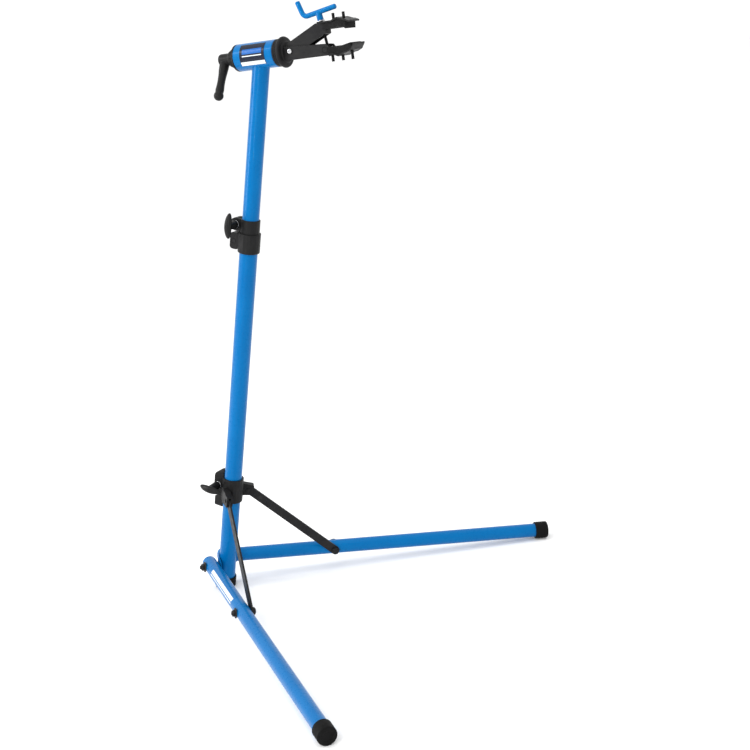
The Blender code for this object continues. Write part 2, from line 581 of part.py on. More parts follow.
def make_pad(name, away, level, spine, pegs, origin):
    """A jaw's rubber pad, with a V across it and moulded pegs through the plate."""
    arm_end = LOWER_ARM_END if away < 0 else UPPER_ARM_END
    start, apex = arm_end + 0.0008, spine[2][0]
    end = LOWER_PAD_END if away < 0 else UPPER_PAD_END
    face = level - away * PAD_THICK
    outline = jaw_line(away, level - away * GAP, spine, start, end)
    outline += [(end, face - away * 0.003), (apex + 0.012, face), (apex, face + away * V_DEPTH),
                (apex - 0.012, face), (start, face)]
    half = JAW_WIDTH / 2 - 0.002
    home = Matrix.Translation(origin)
    pad = solid(name, moved(plate(outline, -half, half), home.inverted()), HEAD @ home, "rubber")
    for x in pegs:
        ends = sorted((level - away * 0.004, level + away * PEG_TIP))
        join(pad, moved(rod(PEG_R, *ends, 10), shifted(x, PEG_ROW, 0)), HEAD)


def make_lower_jaw():
    """The fixed arm, a channel open on top, and its wide jaw plate."""
    start, end = FLANGE_FACE + GAP, LOWER_ARM_END
    low = LOWER_LEVEL - PLATE_THICK - 0.0004
    outline = [(start, low), (end, low), (end, -0.0020), (0.158, 0.0040), (0.150, 0.0052), (start, 0.0095)]
    jaw = solid("lower_jaw", plate(outline, -ARM_HALF, ARM_HALF), HEAD, "black_steel")
    floor = LOWER_LEVEL - 0.0006
    hollow = [(start - 0.01, floor), (0.18, floor), (0.18, 0.03), (start - 0.01, 0.03)]
    inner = ARM_HALF - ARM_WALL
    cut(jaw, plate(hollow, -inner, inner))
    add_jaw_plate(jaw, -1, LOWER_LEVEL, LOWER_SPINE, LOWER_PEGS)
    cut(jaw, moved(rod(0.0033, -0.03, 0.03, 16), Matrix.Translation(JAW_PIVOT) @ ALONG_Y))
    cut(jaw, moved(rod(TRUNNION_R + GAP, -0.03, 0.03, 20), Matrix.Translation(TRUNNION) @ ALONG_Y))
    cut(jaw, moved(rod(0.0058, -0.0200, -0.0040, 16), Matrix.Translation(TRUNNION)))


def make_upper_jaw():
    """The clamping arm, a channel open below that turns about the pivot bolt between the lower arm's cheeks."""
    home = HEAD @ Matrix.Translation(JAW_PIVOT)
    at = (JAW_PIVOT.x, JAW_PIVOT.z)
    end = UPPER_ARM_END
    outline = arc(at, 0.0115, 125, 300, 12)
    outline += [(0.1197, 0.0075), (end, 0.0240), (end, UPPER_LEVEL + 0.0024), (0.1380, UPPER_LEVEL + 0.0012),
                (0.0815, 0.0203), (0.0715, 0.0160)]
    shape = moved(plate(outline, -UPPER_HALF, UPPER_HALF), Matrix.Translation(-JAW_PIVOT))
    jaw = solid("upper_jaw", shape, home, "black_steel")
    inner = UPPER_HALF - ARM_WALL
    hollow = [(0.050, -0.030), (0.1547, -0.030), (0.1547, 0.0405), (0.1385, 0.0403), (0.0825, 0.0168), (0.050, 0.0045)]
    cut(jaw, plate(hollow, -inner, inner), HEAD)
    add_jaw_plate(jaw, 1, UPPER_LEVEL, UPPER_SPINE, UPPER_PEGS)
    cut(jaw, moved(rod(0.0033, -0.03, 0.03, 16), ALONG_Y))
    cut(jaw, block((0.1375, -0.0036, 0.030), (0.1525, 0.0036, 0.055)), HEAD)


def make_jaw_bolt():
    home = HEAD @ Matrix.Translation(JAW_PIVOT) @ turned_by(math.pi / 2, "X")
    bolt = [(0, -0.0205), (0.0030, -0.0205), (0.0030, ARM_HALF + GAP), (0.0048, ARM_HALF + GAP),
            (0.0045, ARM_HALF + 0.0022), (0.0030, ARM_HALF + 0.0028), (0, ARM_HALF + 0.0028)]
    solid("jaw_pivot_bolt", lathe(bolt, 20), home, "zinc")
    nut = [(0.0033, -0.0200), (0.0048, -0.0200), (0.0048, -ARM_HALF - GAP), (0.0033, -ARM_HALF - GAP)]
    solid("jaw_pivot_nut", lathe(nut, 12, hexed=(1, 2)), home, "zinc")


def make_jaw_screw():
    """The trunnion nut in the lower arm, and the screw with its handle and thrust washer above the upper arm."""
    home = HEAD @ Matrix.Translation(TRUNNION)
    nut = solid("trunnion_nut", rod(TRUNNION_R, -0.0148, 0.0148, 20, 0.0006), home @ ALONG_Y, "black_steel")
    tilt = home @ turned_by(SCREW_TILT, "Y")
    cut(nut, rod(SCREW_R + GAP, -0.02, 0.02, 16), tilt)
    solid("jaw_screw", rod(SCREW_R, -0.0125, SEAT + 0.0110, 16, 0.0005), tilt, "zinc")
    solid("thrust_washer", tube(0.0085, SCREW_R + GAP, SEAT, SEAT + 0.0015, 24), tilt, "zinc")
    low = SEAT + 0.0018
    stem = [(0, SEAT + 0.0115), (SCREW_R + GAP, SEAT + 0.0115), (SCREW_R + GAP, low), (0.0062, low),
            (0.0066, low + 0.0010), (0.0064, HANDLE_HEIGHT - 0.003), (0.0050, HANDLE_HEIGHT + 0.001),
            (0, HANDLE_HEIGHT + 0.001)]
    handle = solid("jaw_handle", lathe(stem, 20), tilt, "blue_paint")
    points = [Vector((0.0400, 0, 0)), Vector((0.0385, 0, 0)), Vector((-0.0250, 0, 0))]
    points += [Vector((-0.0250 - 0.0110 * math.sin(a), 0, 0.0110 - 0.0110 * math.cos(a))) for a in (0.5, 1.0, 1.35)]
    points += [Vector((-0.0400, 0, 0.0305)), Vector((-0.0403, 0, 0.0318))]
    radii = [0.0034] + [HANDLE_R] * (len(points) - 2) + [0.0034]
    join(handle, moved(swept(points, radii, 14), shifted(z=HANDLE_HEIGHT)))


def build():
    make_foot_cap()
    make_mast()
    make_height_collar()
    make_sliding_collar()
    make_knob("height", HEIGHT_CLAMP, 0.0100, 0.038, True)
    make_knob("collar", COLLAR_CLAMP, 0.0115, 0.045, False)
    make_height_screw()
    make_leg_bracket()
    for side, name in ((1, "left"), (-1, "right")):
        make_leg(side, name)
        make_leg_pivot(side, name)
        make_strut(side, name)
    make_barrel()
    make_label()
    make_head_shaft()
    make_lock_lever()
    make_lower_jaw()
    make_upper_jaw()
    make_pad("lower_pad", -1, LOWER_LEVEL, LOWER_SPINE, LOWER_PEGS, Vector((0, 0, 0)))
    make_pad("upper_pad", 1, UPPER_LEVEL, UPPER_SPINE, UPPER_PEGS, JAW_PIVOT)
    make_jaw_bolt()
    make_jaw_screw()


for item in list(bpy.data.objects):
    bpy.data.objects.remove(item, do_unlink=True)
build()
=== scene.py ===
"""Looks of the folding bicycle repair stand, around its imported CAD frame.

Round and moulded pieces are rebuilt finely here, and the bent, cut and bolted CAD pieces keep their shape and
get rounded edges. Every piece has a procedural material. Metres, +Z up, the same frame as the CAD.
"""

import math

import bmesh
import bpy
from mathutils import Matrix, Vector


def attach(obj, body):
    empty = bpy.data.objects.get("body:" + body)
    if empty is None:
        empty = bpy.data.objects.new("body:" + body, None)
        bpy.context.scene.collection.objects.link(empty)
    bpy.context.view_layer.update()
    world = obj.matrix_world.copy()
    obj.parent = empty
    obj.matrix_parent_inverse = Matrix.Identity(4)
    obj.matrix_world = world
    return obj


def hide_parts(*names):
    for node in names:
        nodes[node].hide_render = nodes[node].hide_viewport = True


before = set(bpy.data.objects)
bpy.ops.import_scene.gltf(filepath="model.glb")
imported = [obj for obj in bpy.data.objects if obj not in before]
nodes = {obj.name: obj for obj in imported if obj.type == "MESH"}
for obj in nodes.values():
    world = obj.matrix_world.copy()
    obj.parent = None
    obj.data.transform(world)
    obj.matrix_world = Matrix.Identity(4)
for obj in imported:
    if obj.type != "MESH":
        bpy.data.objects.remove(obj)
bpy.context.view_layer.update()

# ---- the CAD's own sizes, in metres and radians ----
MAST_LEAN, MAST_LENGTH = math.radians(11.1), 1.189
LOWER_R, LOWER_BORE_R, LOWER_TOP = 0.01905, 0.01785, 0.8265
UPPER_R, UPPER_BORE_R, UPPER_BOTTOM = 0.01745, 0.01585, 0.520
FOOT_R, FOOT_TOP = 0.022, 0.0275
LEG_SPLAY, LEG_R, LEG_BORE_R, LEG_OFFSET = math.radians(39.0), 0.015875, 0.014375, 0.0385
LEG_PIVOT_HEIGHT, LEG_PIVOT_REACH, LEG_LENGTH, LEG_TAIL = 0.057, 0.008, 0.751, 0.0205
CAP_R, CAP_LENGTH, CAP_ROUND = 0.01925, 0.030, 0.003
STRUT_BOLT_REACH, STRUT_OUTER = 0.241, 0.0221
COLLAR_CLAMP, HEIGHT_CLAMP = (-0.031, 0.248), (-0.0295, 0.8425)
COLLAR_KNOB, HEIGHT_KNOB = (0.0115, 0.045), (0.0100, 0.038)  # half the ears' width, the wing's distance
KNOB_HALF_LENGTH = 0.0275
BARREL_TILT, BARREL_R, BARREL_BORE_R = math.radians(3.5), 0.0265, 0.0235
BARREL_BACK, BARREL_FRONT, BUSH_LENGTH = -0.0525, 0.0395, 0.0095
SHAFT_R, FLANGE_R = 0.0160, 0.0300
FLANGE_FACE = BARREL_FRONT + 0.0006 + BUSH_LENGTH + 0.012
LABEL_SPAN = (-0.0355, 0.0225)
LEVER_ANGLE, LEVER_LENGTH = math.radians(-31.0), 0.0785
JAW_PIVOT, ARM_HALF = Vector((0.0757, 0.0, 0.0002)), 0.0150
TRUNNION = Vector((0.1537, 0.0, -0.0060))
SCREW_R, SCREW_TILT = 0.003, math.radians(-9.5)
SEAT, HANDLE_HEIGHT, HANDLE_R = 0.0542, 0.0720, 0.005
GAP = 0.0003


# ---- frames ----
def shifted(x=0.0, y=0.0, z=0.0):
    return Matrix.Translation((x, y, z))


def turned_by(angle, axis):
    return Matrix.Rotation(angle, 4, axis)


MAST = turned_by(MAST_LEAN, "Y")
HEAD = shifted(*(MAST @ Vector((0.0, 0.0, MAST_LENGTH)))) @ turned_by(-BARREL_TILT, "Y")
ALONG_X = turned_by(math.pi / 2, "Y")
TO_RIGHT = turned_by(math.pi / 2, "X")  # z to the right-hand side, -Y
SCREW = HEAD @ Matrix.Translation(TRUNNION) @ turned_by(SCREW_TILT, "Y")


def leg_plane(side):
    return MAST @ turned_by(side * LEG_SPLAY, "Z")


def leg_angle():
    """From the mast's direction to the leg's, so that the rubber cap rests on the floor."""
    pivot = leg_plane(1) @ Vector((LEG_PIVOT_REACH, LEG_OFFSET, LEG_PIVOT_HEIGHT))
    drop = 0.1
    for _ in range(30):
        rim = (CAP_R - CAP_ROUND) * math.cos(drop) + CAP_ROUND
        drop = math.asin((pivot.z - rim) / (LEG_LENGTH - CAP_ROUND))
    up, out = math.cos(MAST_LEAN), -math.cos(LEG_SPLAY) * math.sin(MAST_LEAN)
    return math.atan2(out, up) + math.acos(-math.sin(drop) / math.hypot(up, out))


LEG_ANGLE = leg_angle()


def leg_frame(side):
    """z along the leg from its pivot."""
    at = shifted(LEG_PIVOT_REACH, side * LEG_OFFSET, LEG_PIVOT_HEIGHT)
    return leg_plane(side) @ at @ turned_by(LEG_ANGLE, "Y")


# ---- materials ----
class Nodes:
    """A material's node tree, with the few nodes that these finishes share."""

    def __init__(self, name, colour, rough, metallic=0.0):
        self.material = bpy.data.materials.new(name)
        self.material.use_nodes = True
        self.tree = self.material.node_tree
        self.shader = self.tree.nodes["Principled BSDF"]
        self.shader.inputs["Base Color"].default_value = (*colour, 1.0)
        self.shader.inputs["Roughness"].default_value = rough
        self.shader.inputs["Metallic"].default_value = metallic
        self.place = self.add("ShaderNodeTexCoord").outputs["Object"]
        self.height = None

    def add(self, kind, **settings):
        node = self.tree.nodes.new(kind)
        for key, value in settings.items():
            if hasattr(node, key):
                setattr(node, key, value)
            else:
                node.inputs[key].default_value = value
        return node

    def link(self, out, into):
        self.tree.links.new(out, into)

    def stretched(self, scale):
        node = self.add("ShaderNodeMapping")
        node.inputs["Scale"].default_value = scale
        self.link(self.place, node.inputs["Vector"])
        return node.outputs["Vector"]

    def noise(self, scale, detail=4.0, rough=0.55, place=None):
        node = self.add("ShaderNodeTexNoise", Scale=scale, Detail=detail, Roughness=rough)
        self.link(place or self.place, node.inputs["Vector"])
        return node.outputs["Fac"]

    def cells(self, scale):
        node = self.add("ShaderNodeTexVoronoi", Scale=scale)
        self.link(self.place, node.inputs["Vector"])
        return node.outputs["Distance"]

    def ramp(self, fac, stops):
        node = self.add("ShaderNodeValToRGB")
        elements = node.color_ramp.elements
        while len(elements) < len(stops):
            elements.new(0.5)
        for element, (at, colour) in zip(elements, stops):
            element.position = at
            element.color = (*colour, 1.0) if isinstance(colour, tuple) else (colour, colour, colour, 1.0)
        self.link(fac, node.inputs["Fac"])
        return node.outputs["Color"]

    def colour(self, fac, stops):
        self.link(self.ramp(fac, stops), self.shader.inputs["Base Color"])

    def roughness(self, fac, low, high, start=0.35, end=0.65):
        self.link(self.ramp(fac, [(start, low), (end, high)]), self.shader.inputs["Roughness"])

    def bump(self, fac, distance, strength=1.0):
        node = self.add("ShaderNodeBump", Strength=strength, Distance=distance)
        self.link(fac, node.inputs["Height"])
        if self.height:
            self.link(self.height, node.inputs["Normal"])
        self.height = node.outputs["Normal"]
        self.link(self.height, self.shader.inputs["Normal"])


def enamel():
    """Gloss blue stove enamel: a faint drift of depth, orange peel, and dust in the gloss."""
    m = Nodes("blue enamel", (0.0006, 0.120, 0.340), 0.30)
    m.colour(m.noise(9.0, 5.0), [(0.30, (0.0004, 0.108, 0.318)), (0.55, (0.0006, 0.122, 0.345)),
                                 (0.80, (0.0012, 0.136, 0.376))])
    m.roughness(m.noise(160.0, 6.0, 0.65), 0.24, 0.36)
    m.bump(m.noise(220.0, 2.0), 0.00002, 0.15)
    m.bump(m.noise(25.0, 2.0), 0.00015, 0.08)
    m.shader.inputs["Coat Weight"].default_value = 0.14
    m.shader.inputs["Coat Roughness"].default_value = 0.07
    m.shader.inputs["Specular IOR Level"].default_value = 0.28
    m.shader.inputs["Specular Tint"].default_value = (0.01, 0.42, 1.0, 1.0)
    return m.material


def moulded(name, shade, rough, grain):
    """Glass-filled nylon: spark-eroded grain, cloudy sheen and a few pale scuffs."""
    m = Nodes(name, (shade, shade, shade), rough)
    scuff = m.noise(70.0, 8.0, 0.75, m.stretched((1.0, 1.0, 0.35)))
    m.colour(scuff, [(0.40, (shade * 0.8, shade * 0.8, shade * 0.85)), (0.62, (shade * 1.15,) * 3),
                     (0.78, (shade * 2.4,) * 3)])
    m.roughness(m.noise(55.0, 5.0), rough - 0.09, rough + 0.10)
    m.bump(m.cells(grain), 0.00010, 0.45)
    m.bump(m.noise(grain * 0.4, 5.0), 0.00008, 0.35)
    m.shader.inputs["Specular IOR Level"].default_value = 0.13
    return m.material


def coated_steel():
    """Black powder coat on pressed steel: fine orange peel, worn a little paler in streaks."""
    m = Nodes("black powder coat", (0.011, 0.011, 0.012), 0.42)
    streak = m.noise(60.0, 7.0, 0.7, m.stretched((0.3, 1.0, 1.0)))
    m.colour(streak, [(0.35, (0.007, 0.007, 0.008)), (0.60, (0.013, 0.013, 0.013)),
                      (0.80, (0.036, 0.033, 0.031))])
    m.roughness(m.noise(140.0, 5.0), 0.32, 0.52)
    m.bump(m.noise(700.0, 3.0), 0.00010, 0.45)
    m.shader.inputs["Specular IOR Level"].default_value = 0.14
    m.shader.inputs["Coat Weight"].default_value = 0.03
    m.shader.inputs["Coat Roughness"].default_value = 0.30
    return m.material


def rubber(name, shade):
    """Moulded rubber: matte, speckled with bloom."""
    m = Nodes(name, (shade, shade, shade), 0.72)
    m.colour(m.noise(240.0, 7.0, 0.7), [(0.35, (shade * 0.75,) * 3), (0.60, (shade * 1.2,) * 3),
                                        (0.80, (shade * 2.6,) * 3)])
    m.roughness(m.noise(45.0, 4.0), 0.60, 0.82)
    m.bump(m.noise(900.0, 3.0), 0.00012, 0.6)
    m.shader.inputs["Specular IOR Level"].default_value = 0.10
    return m.material


def bright_zinc():
    """Zinc-plated steel: turned marks, bluish and straw tints."""
    m = Nodes("bright zinc plate", (0.60, 0.61, 0.63), 0.28, 1.0)
    m.colour(m.noise(130.0, 4.0), [(0.35, (0.52, 0.54, 0.57)), (0.60, (0.66, 0.66, 0.66)),
                                   (0.85, (0.70, 0.67, 0.60))])
    m.roughness(m.noise(500.0, 6.0, 0.7), 0.20, 0.40)
    m.bump(m.noise(900.0, 4.0, 0.6, m.stretched((1.0, 1.0, 0.1))), 0.00004, 0.5)
    return m.material


def film(name, colour, rough, flecks):
    """Printed polyester film under clear lacquer, with fine print grain."""
    m = Nodes(name, colour, rough)
    grain = m.noise(1500.0, 3.0, 0.7)
    m.colour(grain, [(0.30, tuple(c * (1 - flecks) for c in colour)), (0.70, colour)])
    m.roughness(m.noise(80.0, 4.0), rough - 0.05, rough + 0.08)
    m.bump(m.noise(60.0, 3.0), 0.00008, 0.25)
    m.shader.inputs["Specular IOR Level"].default_value = 0.15
    m.shader.inputs["Coat Weight"].default_value = 0.15
    m.shader.inputs["Coat Roughness"].default_value = 0.12
    return m.material


ENAMEL = enamel()
NYLON = moulded("black nylon", 0.010, 0.44, 1400.0)
KNOB_NYLON = moulded("knob nylon", 0.010, 0.36, 2200.0)
STEEL = coated_steel()
CAP_RUBBER = rubber("cap rubber", 0.004)
PAD_RUBBER = rubber("pad rubber", 0.008)
ZINC = bright_zinc()
FILM_BLACK = film("label black film", (0.010, 0.014, 0.030), 0.24, 0.30)
FILM_WHITE = film("label white film", (0.66, 0.69, 0.71), 0.30, 0.05)
FILM_BLUE = film("label blue film", (0.010, 0.110, 0.400), 0.26, 0.15)


# ---- shapes, each a mesh in its own frame ----
def lathe(outline, sides=96):
    """Turned about Z from (radius, height) points. An outline off the axis closes into a ring."""
    bm = bmesh.new()
    rings = []
    for radius, height in outline:
        if radius == 0:
            rings.append([bm.verts.new((0.0, 0.0, height))])
            continue
        angles = [math.tau * i / sides for i in range(sides)]
        rings.append([bm.verts.new((radius * math.cos(a), radius * math.sin(a), height)) for a in angles])
    pairs = list(zip(rings, rings[1:]))
    if outline[0][0] > 0:
        pairs.append((rings[-1], rings[0]))
    for low, high in pairs:
        for i in range(sides):
            j = (i + 1) % sides
            corners = [low[i % len(low)], low[j % len(low)], high[j % len(high)], high[i % len(high)]]
            bm.faces.new(list(dict.fromkeys(corners)))
    bmesh.ops.recalc_face_normals(bm, faces=bm.faces)
    return bm


def tube(outer, bore, low, high, rim=0.0004, sides=96):
    """A tube with broken edges at its ends."""
    return lathe([(bore, low), (outer - rim, low), (outer, low + rim), (outer, high - rim),
                  (outer - rim, high), (bore, high)], sides)


def arc(centre, radius, start, end, steps):
    """Points on a circle, angles in degrees."""
    angles = [math.radians(start + (end - start) * i / steps) for i in range(steps + 1)]
    return [(centre[0] + radius * math.cos(a), centre[1] + radius * math.sin(a)) for a in angles]


def ellipsoid(half, segments=48, rings=24):
    bm = bmesh.new()
    bmesh.ops.create_uvsphere(bm, u_segments=segments, v_segments=rings, radius=1.0)
    bmesh.ops.scale(bm, vec=half, verts=bm.verts)
    return bm


def hexagon(flats, low, high, chamfer):
    """A hexagonal prism turned down to a chamfered face at its high end."""
    bm = bmesh.new()
    corner = flats / math.cos(math.pi / 6)
    rings = []
    for reach, height in ((corner, low), (corner, high - chamfer), (flats * 0.97, high)):
        angles = [math.tau * i / 6 for i in range(6)]
        rings.append([bm.verts.new((reach * math.cos(a), reach * math.sin(a), height)) for a in angles])
    bm.faces.new(rings[0])
    bm.faces.new(rings[-1])
    for lower, upper in zip(rings, rings[1:]):
        for i in range(6):
            j = (i + 1) % 6
            bm.faces.new([lower[i], lower[j], upper[j], upper[i]])
    bmesh.ops.recalc_face_normals(bm, faces=bm.faces)
    return bm


def swept(points, radii, sides=28):
    """A round bar along the points, with an end face at each end."""
    bm = bmesh.new()
    rings = []
    for i, point in enumerate(points):
        along = (points[min(i + 1, len(points) - 1)] - points[max(i - 1, 0)]).normalized()
        across = Vector((0, 1, 0))
        up = along.cross(across).normalized()
        angles = [math.tau * k / sides for k in range(sides)]
        ring = [point + radii[i] * (math.cos(a) * across + math.sin(a) * up) for a in angles]
        rings.append([bm.verts.new(p) for p in ring])
    for one, two in zip(rings, rings[1:]):
        for k in range(sides):
            n = (k + 1) % sides
            bm.faces.new([one[k], one[n], two[n], two[k]])
    bm.faces.new(rings[0])
    bm.faces.new(rings[-1])
    bmesh.ops.recalc_face_normals(bm, faces=bm.faces)
    return bm


def threaded(radius, low, high, pitch, depth, sides=28):
    """A screw with a helical thread, tapered in at both ends."""
    bm = bmesh.new()
    rows = round((high - low) / pitch * 8)
    rings = []
    for row in range(rows + 1):
        height = low + (high - low) * row / rows
        runout = min(1.0, (height - low) / pitch, (high - height) / pitch)
        ring = []
        for i in range(sides):
            phase = (height / pitch - i / sides) % 1.0
            groove = depth * abs(2 * phase - 1) * runout
            r = radius - groove - depth * (1 - runout)
            angle = math.tau * i / sides
            ring.append(bm.verts.new((r * math.cos(angle), r * math.sin(angle), height)))
        rings.append(ring)
    for lower, upper in zip(rings, rings[1:]):
        for i in range(sides):
            j = (i + 1) % sides
            bm.faces.new([lower[i], lower[j], upper[j], upper[i]])
    bm.faces.new(rings[0])
    bm.faces.new(rings[-1])
    bmesh.ops.recalc_face_normals(bm, faces=bm.faces)
    return bm


def patch(radius, thick, start, end, low, high, steps=40):
    """A piece of film wrapped on a cylinder along Z, from one angle to another in degrees."""
    bm = bmesh.new()
    grid = []
    for r in (radius, radius + thick):
        layer = []
        for z in (low, high):
            angles = [math.radians(start + (end - start) * i / steps) for i in range(steps + 1)]
            row = [(r * math.cos(a), r * math.sin(a), z) for a in angles]
            layer.append([bm.verts.new(p) for p in row])
        grid.append(layer)
    (a, b), (c, d) = grid
    for i in range(steps):
        bm.faces.new([a[i], a[i + 1], b[i + 1], b[i]])
        bm.faces.new([c[i], c[i + 1], d[i + 1], d[i]])
        bm.faces.new([a[i], a[i + 1], c[i + 1], c[i]])
        bm.faces.new([b[i], b[i + 1], d[i + 1], d[i]])
    bm.faces.new([a[0], b[0], d[0], c[0]])
    bm.faces.new([a[-1], b[-1], d[-1], c[-1]])
    bmesh.ops.recalc_face_normals(bm, faces=bm.faces)
    return bm


def together(*shapes):
    """One mesh of several shells."""
    joined = bmesh.new()
    for shape in shapes:
        mesh = bpy.data.meshes.new("shell")
        shape.to_mesh(mesh)
        joined.from_mesh(mesh)
        bpy.data.meshes.remove(mesh)
        shape.free()
    return joined


def moved(bm, matrix):
    bm.transform(matrix)
    return bm


# ---- pieces ----
def round_edges(obj, width, angle=32.0, segments=3):
    bevel = obj.modifiers.new("edges", "BEVEL")
    bevel.width = width
    bevel.segments = segments
    bevel.limit_method = "ANGLE"
    bevel.angle_limit = math.radians(angle)
    bevel.use_clamp_overlap = True
    bevel.harden_normals = True


def smooth(mesh, angle=32.0):
    mesh.shade_smooth()
    mesh.set_sharp_from_angle(angle=math.radians(angle))


def piece(name, bm, at, material, body, edge=0.0, stands_for=()):
    """A finished piece in its own frame, which rides on a body and may stand for CAD nodes."""
    mesh = bpy.data.meshes.new(name)
    bm.to_mesh(mesh)
    bm.free()
    mesh.materials.append(material)
    obj = bpy.data.objects.new(name, mesh)
    obj.matrix_world = at
    bpy.context.collection.objects.link(obj)
    smooth(mesh)
    if edge:
        round_edges(obj, edge)
    bpy.context.view_layer.update()
    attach(obj, body)
    if stands_for:
        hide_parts(*stands_for)
    return obj


def fused(bm, voxel, passes=6):
    """Several shells run together into one moulding, with soft fillets where they meet."""
    mesh = bpy.data.meshes.new("shells")
    bm.to_mesh(mesh)
    bm.free()
    obj = bpy.data.objects.new("shells", mesh)
    bpy.context.collection.objects.link(obj)
    remesh = obj.modifiers.new("fuse", "REMESH")
    remesh.mode = "VOXEL"
    remesh.voxel_size = voxel
    soften = obj.modifiers.new("soften", "SMOOTH")
    soften.factor = 0.5
    soften.iterations = passes
    bpy.context.view_layer.update()
    result = bmesh.new()
    result.from_object(obj, bpy.context.evaluated_depsgraph_get())
    bpy.data.objects.remove(obj)
    bpy.data.meshes.remove(mesh)
    return result


def make_mast():
    piece("lower_mast_tube", tube(LOWER_R, LOWER_BORE_R, 0.0108, LOWER_TOP), MAST, ENAMEL, "base",
          stands_for=["lower_tube"])
    top = MAST_LENGTH - 0.0188
    piece("upper_mast_tube", tube(UPPER_R, UPPER_BORE_R, UPPER_BOTTOM, top), MAST, ENAMEL, "mast",
          stands_for=["upper_tube"])
    bead = []
    into_head = HEAD.inverted() @ MAST
    around, across = 72, 10
    for i in range(around + 1):
        angle = math.tau * i / around
        spot = Vector((UPPER_R * math.cos(angle), UPPER_R * math.sin(angle), MAST_LENGTH - 0.05))
        for _ in range(8):
            head_spot = into_head @ spot
            spot.z += -head_spot.z - math.sqrt(BARREL_R**2 - min(head_spot.y, BARREL_R) ** 2)
        bead.append(spot)
    ring = bmesh.new()
    rows = []
    for i, spot in enumerate(bead[:-1]):
        out = Vector((spot.x, spot.y, 0)).normalized()
        ripple = 0.0014 + 0.00012 * math.sin(i * 2.1)
        angles = [math.tau * k / across for k in range(across)]
        rows.append([ring.verts.new(spot + ripple * (out * math.cos(a) + Vector((0, 0, 1)) * math.sin(a)))
                     for a in angles])
    for i, row in enumerate(rows):
        after = rows[(i + 1) % len(rows)]
        for k in range(across):
            n = (k + 1) % across
            ring.faces.new([row[k], row[n], after[n], after[k]])
    bmesh.ops.recalc_face_normals(ring, faces=ring.faces)
    piece("mast_weld_bead", ring, MAST, ENAMEL, "mast")


def make_foot():
    wall = [(LOWER_R + GAP, 0.0105), (LOWER_R + GAP, FOOT_TOP), (FOOT_R - 0.0016, FOOT_TOP)]
    wall += arc((FOOT_R - 0.0016, FOOT_TOP - 0.0016), 0.0016, 90, 0, 5)[1:]
    wall += [(FOOT_R, 0.0125), (FOOT_R - 0.0006, 0.0118), (FOOT_R, 0.0110), (FOOT_R, -0.02), (0, -0.02)]
    bm = lathe([(0, 0.0105)] + wall, 96)
    floor = MAST.inverted().to_3x3() @ Vector((0.0, 0.0, -1.0))
    geometry = bm.verts[:] + bm.edges[:] + bm.faces[:]
    bmesh.ops.bisect_plane(bm, geom=geometry, plane_co=(0, 0, 0), plane_no=floor, clear_outer=True)
    bmesh.ops.holes_fill(bm, edges=[edge for edge in bm.edges if edge.is_boundary])
    bmesh.ops.recalc_face_normals(bm, faces=bm.faces)
    piece("mast_foot_cap", bm, MAST, CAP_RUBBER, "base", 0.0006, ["foot_cap"])


def flange_nut(reach, flange_r, flats, height):
    """A flanged nylon-insert nut with the bolt's end standing out of it, its seat at the reach."""
    flange = lathe([(0, reach), (flange_r, reach), (flange_r, reach + 0.0009),
                    (flange_r - 0.0012, reach + 0.0017), (flats + 0.0006, reach + 0.0021),
                    (0, reach + 0.0021)], 64)
    nut = hexagon(flats, reach + 0.0010, reach + height, 0.0009)
    insert = lathe([(0, reach), (flats * 0.80, reach), (flats * 0.80, reach + height + 0.0006),
                    (flats * 0.72, reach + height + 0.0010), (0, reach + height + 0.0010)], 48)
    end = reach + height + 0.0020
    stub = threaded(0.0038, reach, end, 0.00125, 0.0004, 24)
    return together(flange, nut, insert, stub)


